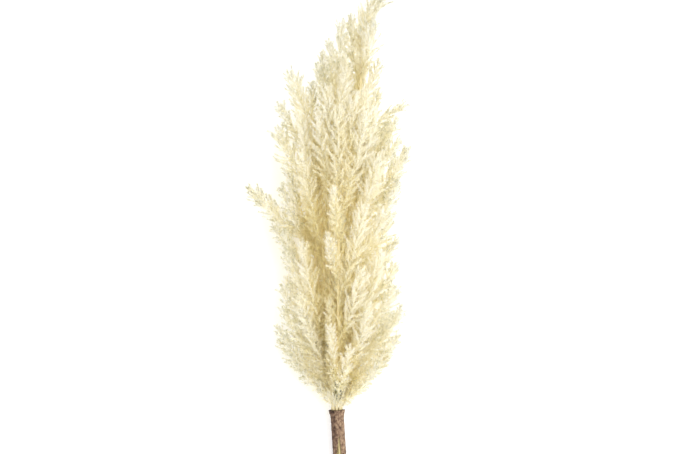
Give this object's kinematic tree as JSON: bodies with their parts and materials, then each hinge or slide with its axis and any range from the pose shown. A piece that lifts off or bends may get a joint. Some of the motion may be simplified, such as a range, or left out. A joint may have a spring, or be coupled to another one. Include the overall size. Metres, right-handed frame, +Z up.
{
  "type": "bundle of dried astilbe",
  "caption": "Bundle of dried cream astilbe plumes held by a brown paper tape sleeve, lying on a table.",
  "frame": {"origin": "centre of the underside of the bounding box, on the table that the bundle lies on", "axes": "+Y along the bundle towards the tips of the plumes, +X to the right seen from above with the tips away, +Z up from the table"},
  "size_m": [0.1661, 0.509, 0.0979],
  "materials": {
    "dried_florets": "matt, soft and dry",
    "brown_paper_tape": "matt, mottled"
  },
  "bodies": {
    "root": {"stem_crown": "dried_florets", "stem_top_left": "dried_florets", "stem_left_high": "dried_florets", "stem_left_low": "dried_florets", "stem_right_high": "dried_florets", "stem_right_low": "dried_florets", "stem_front": "dried_florets", "stem_back_left": "dried_florets", "stem_back_right": "dried_florets", "stem_wrap": "brown_paper_tape"}
  },
  "joints": []
}
